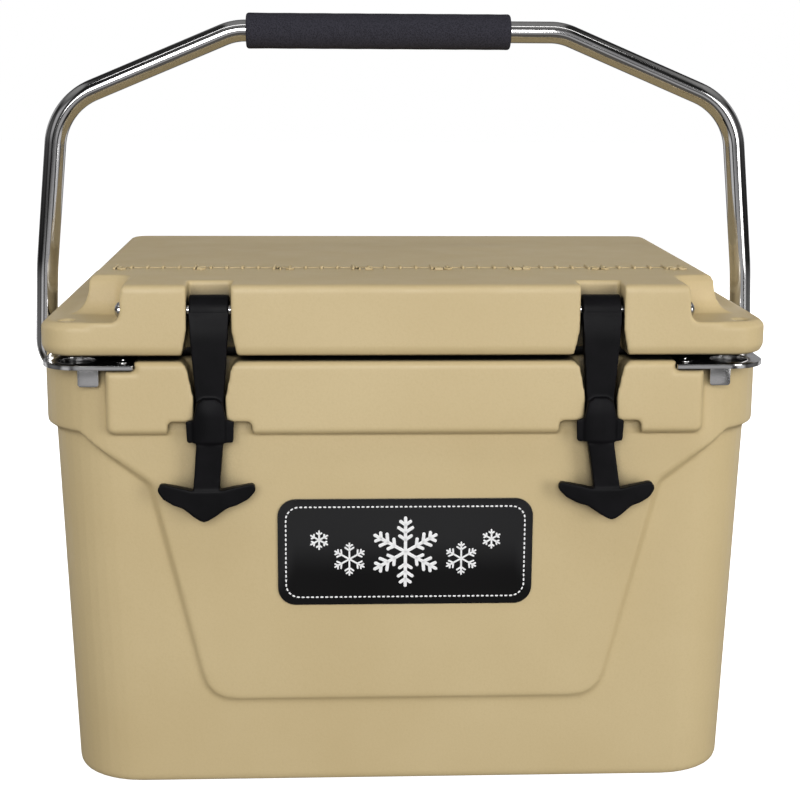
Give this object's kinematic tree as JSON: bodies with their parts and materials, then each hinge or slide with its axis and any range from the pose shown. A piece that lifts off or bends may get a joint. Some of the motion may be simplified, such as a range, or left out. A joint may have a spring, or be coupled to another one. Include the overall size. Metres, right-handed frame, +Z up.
{
  "type": "hard cooler chest",
  "caption": "Rotomoulded insulated chest with a hinged lid, rubber T-latches, steel corner lock plates and a stainless bail handle with a foam grip.",
  "frame": {"origin": "on the flat underside, below the middle of the handle's pivot line", "axes": "+X to the right seen from the front, +Y to the back, where the lid's hinges are, +Z up"},
  "size_m": [0.5508, 0.342, 0.5419],
  "materials": {
    "tan_shell": "tan rotomoulded polyethylene with a fine orange-peel surface",
    "core_foam": "pale polyurethane foam, sealed inside the shells",
    "label": "gloss black domed label with a white stitched border",
    "black_plastic": "black moulded nylon",
    "black_rubber": "black moulded rubber, satin",
    "seal_rubber": "black extruded freezer seal",
    "stainless": "polished stainless steel",
    "grip_foam": "black closed-cell foam rubber sleeve"
  },
  "bodies": {
    "tub": {"tub_shell": "tan_shell", "tub_foam": "core_foam", "tub_fill_plug": "tan_shell", "badge_plate": "label", "drain_fitting": "black_plastic", "drain_nut": "black_plastic", "pivot_bush_left": "black_plastic", "pivot_bush_right": "black_plastic", "lock_plate_left": "stainless", "lock_plate_right": "stainless", "hinge_pin_left": "stainless", "hinge_pin_right": "stainless", "lock_plate_screw_left_front": "stainless", "lock_plate_screw_left_back": "stainless", "lock_plate_screw_right_front": "stainless", "lock_plate_screw_right_back": "stainless"},
    "lid": {"lid_shell": "tan_shell", "lid_foam": "core_foam", "lid_fill_plug": "tan_shell", "lid_gasket": "seal_rubber", "latch_pin_left": "stainless", "latch_pin_right": "stainless"},
    "latch_left": {"latch_left": "black_rubber"},
    "latch_right": {"latch_right": "black_rubber"},
    "handle": {"handle_tube": "stainless", "handle_grip": "grip_foam", "handle_end_cap_left": "black_plastic", "handle_end_cap_right": "black_plastic"},
    "drain_seal": {"drain_washer": "black_rubber"},
    "drain_plug": {"drain_plug": "black_plastic"}
  },
  "joints": [
    {"name": "lid_hinge", "type": "hinge", "parent": "tub", "child": "lid", "pos_m": [0, 0.165, 0.311], "axis": [-1, 0, 0], "range_deg": [0, 95]},
    {"name": "latch_left_swing", "type": "hinge", "parent": "lid", "child": "latch_left", "pos_m": [-0.1332, -0.15, 0.3425], "axis": [-1, 0, 0], "range_deg": [0, 150]},
    {"name": "latch_right_swing", "type": "hinge", "parent": "lid", "child": "latch_right", "pos_m": [0.1319, -0.15, 0.3425], "axis": [-1, 0, 0], "range_deg": [0, 150]},
    {"name": "handle_swing", "type": "hinge", "parent": "tub", "child": "handle", "pos_m": [0, 0, 0.272], "axis": [-1, 0, 0], "range_deg": [-125, 125]},
    {"name": "drain_travel", "type": "slide", "parent": "tub", "child": "drain_seal", "axis": [0, 1, 0], "range_m": [0, 0.008]},
    {"name": "drain_turn", "type": "hinge", "parent": "drain_seal", "child": "drain_plug", "pos_m": [0.15, 0.155, 0.062], "axis": [0, 1, 0], "range_deg": [0, 720]}
  ],
  "couplings": [
    {"joint": "handle_swing", "follows": "lid_hinge", "ratio": 1.3},
    {"joint": "drain_travel", "follows": "drain_turn", "m_per_rad": 0.00063662}
  ]
}
